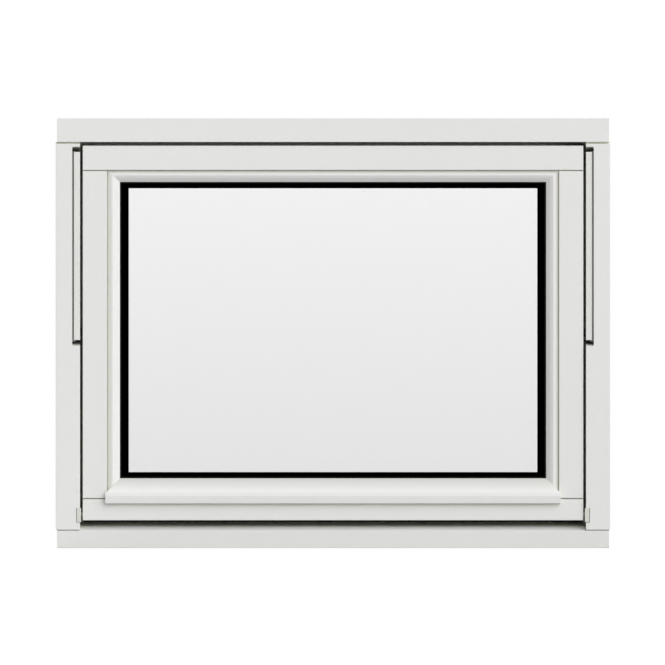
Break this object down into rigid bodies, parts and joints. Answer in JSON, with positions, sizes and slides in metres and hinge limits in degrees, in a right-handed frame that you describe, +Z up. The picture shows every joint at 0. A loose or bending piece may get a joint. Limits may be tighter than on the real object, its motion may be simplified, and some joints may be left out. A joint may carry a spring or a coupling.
{
  "type": "centre pivot window",
  "caption": "Painted timber pivot window: frame with a sloping sill, one double-glazed reversible sash with mitred beads, arm-and-link hinges in jamb slots.",
  "frame": {"origin": "centre of the sill's underside, in width and in depth", "axes": "+X to the right as seen from outside, +Y from outside into the room, +Z up"},
  "size_m": [0.89, 0.1159, 0.69],
  "materials": {
    "painted_timber": "opaque white paint, satin",
    "glass": "clear float glass",
    "edge_seal": "black spacer and sealant",
    "gasket": "black rubber",
    "weatherstrip": "black foam rubber",
    "coated_arm": "pale powder coat, satin",
    "plated_steel": "zinc plated",
    "shoe_plastic": "black nylon",
    "keep_plastic": "pale grey moulded plastic",
    "handle_metal": "satin anodised"
  },
  "bodies": {
    "root": {"frame_head": "painted_timber", "frame_sill": "painted_timber", "left_jamb": "painted_timber", "right_jamb": "painted_timber", "frame_weatherstrip": "weatherstrip", "sash_top_rail": "painted_timber", "sash_bottom_rail": "painted_timber", "left_stile": "painted_timber", "right_stile": "painted_timber", "top_bead": "painted_timber", "bottom_bead": "painted_timber", "left_bead": "painted_timber", "right_bead": "painted_timber", "outer_pane": "glass", "inner_pane": "glass", "glass_spacer": "edge_seal", "outer_glazing_gasket": "gasket", "inner_glazing_gasket": "gasket", "left_hinge_track": "plated_steel", "right_hinge_track": "plated_steel", "left_hinge_arm": "coated_arm", "right_hinge_arm": "coated_arm", "left_hinge_link": "plated_steel", "right_hinge_link": "plated_steel", "left_slide_shoe": "shoe_plastic", "right_slide_shoe": "shoe_plastic", "left_sash_pivot": "plated_steel", "right_sash_pivot": "plated_steel", "left_bolt_keep": "keep_plastic", "right_bolt_keep": "keep_plastic", "left_shoot_bolt": "plated_steel", "right_shoot_bolt": "plated_steel", "lock_faceplate": "plated_steel", "handle_rose": "handle_metal", "handle_lever": "handle_metal"}
  },
  "joints": []
}
